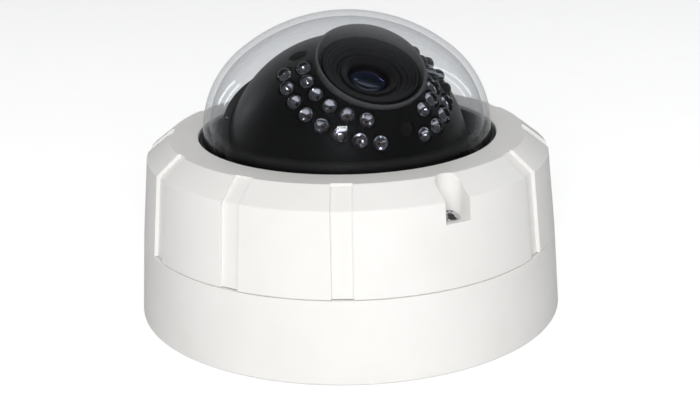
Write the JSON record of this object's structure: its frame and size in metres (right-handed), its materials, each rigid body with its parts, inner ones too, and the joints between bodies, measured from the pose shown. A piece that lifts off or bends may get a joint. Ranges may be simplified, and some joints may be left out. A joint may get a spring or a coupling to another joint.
{
  "type": "dome camera",
  "caption": "Vandal-resistant infrared dome camera with a clear bubble, a grooved white housing and a pan, tilt and rotate camera ball",
  "frame": {"origin": "centre of the round mounting face, on the plane that meets the ceiling", "axes": "+Z through the crown of the bubble, away from the mounting face; -Y towards the front"},
  "size_m": [0.15, 0.15, 0.104],
  "materials": {
    "white_paint": "satin powder coat over a die casting",
    "grey_plastic": "fine matt moulding",
    "seal_rubber": "matt rubber",
    "brass": "turned brass",
    "circuit_board": "green solder mask",
    "green_plastic": "moulded terminal body",
    "plated_steel": "bright zinc plate",
    "bright_steel": "polished stainless security screw",
    "clear_bubble": "clear polycarbonate",
    "dark_steel": "black electrocoat",
    "black_moulding": "satin black moulding",
    "black_steel": "blackened screw",
    "grey_hood": "satin grey moulding",
    "lamp_clear": "clear lamp resin",
    "photocell_face": "cell under clear resin",
    "black_anodised": "black anodised turned metal",
    "lens_coating": "coated optical glass",
    "filter_glass": "tinted filter glass",
    "chip_black": "chip package with a glass window",
    "ribbon": "flat flexible ribbon",
    "ring_black": "knurled anodised ring"
  },
  "bodies": {
    "base": {"base_housing": "white_paint", "conduit_plug": "grey_plastic", "cable_grommet": "seal_rubber", "base_gasket": "seal_rubber", "post_inserts": "brass", "terminal_board": "circuit_board", "power_terminal": "green_plastic", "video_connector": "plated_steel", "terminal_screws": "plated_steel", "pan_base_plate": "plated_steel", "pan_base_screws": "plated_steel", "pan_retainer": "plated_steel"},
    "cover": {"cover_shell": "white_paint", "dome_bubble": "clear_bubble", "dome_gasket": "seal_rubber", "dome_retaining_ring": "plated_steel", "retaining_ring_screws": "plated_steel", "cover_screws": "bright_steel"},
    "yoke": {"yoke_bracket": "dark_steel", "pan_lock_screw": "plated_steel"},
    "tilt_frame": {"tilt_ring": "black_moulding", "clamp_ring": "black_moulding", "clamp_ring_screws": "plated_steel", "tilt_pivots": "plated_steel", "tilt_lock_screws": "plated_steel"},
    "head": {"head_front_cover": "black_moulding", "head_rear_cover": "black_moulding", "head_screws": "black_steel", "lens_hood": "grey_hood", "ir_board": "circuit_board", "ir_lamps_outer": "lamp_clear", "ir_lamps_inner": "lamp_clear", "photocell": "photocell_face", "ir_board_screws": "plated_steel", "lens_barrel": "black_anodised", "lens_front_ring": "black_anodised", "front_glass": "lens_coating", "lens_mount": "black_anodised", "ir_cut_filter": "filter_glass", "image_sensor": "chip_black", "sensor_board": "circuit_board", "main_board": "circuit_board", "board_spacers": "brass", "board_screws": "plated_steel", "board_cable": "ribbon"},
    "zoom_adjuster": {"zoom_ring": "ring_black", "zoom_lock_screw": "plated_steel"},
    "focus_adjuster": {"focus_ring": "ring_black", "focus_lock_screw": "plated_steel"}
  },
  "joints": [
    {"name": "cover_lift", "type": "slide", "parent": "base", "child": "cover", "axis": [0, 0, 1], "range_m": [0, 0.08]},
    {"name": "pan", "type": "hinge", "parent": "base", "child": "yoke", "pos_m": [0, 0, 0.0055], "axis": [0, 0, 1], "range_deg": [-177, 177]},
    {"name": "tilt", "type": "hinge", "parent": "yoke", "child": "tilt_frame", "pos_m": [0, 0, 0.0535], "axis": [0.8988, 0.4384, 0], "range_deg": [-29, 61]},
    {"name": "head_rotation", "type": "hinge", "parent": "tilt_frame", "child": "head", "pos_m": [0, 0, 0.0535], "axis": [0.2125, -0.4357, 0.8746], "range_deg": [-175, 175]},
    {"name": "zoom_adjust", "type": "hinge", "parent": "head", "child": "zoom_adjuster", "pos_m": [0, 0, 0.0535], "axis": [0.2125, -0.4357, 0.8746], "range_deg": [-45, 45]},
    {"name": "focus_adjust", "type": "hinge", "parent": "head", "child": "focus_adjuster", "pos_m": [0, 0, 0.0535], "axis": [0.2125, -0.4357, 0.8746], "range_deg": [-50, 50]}
  ]
}
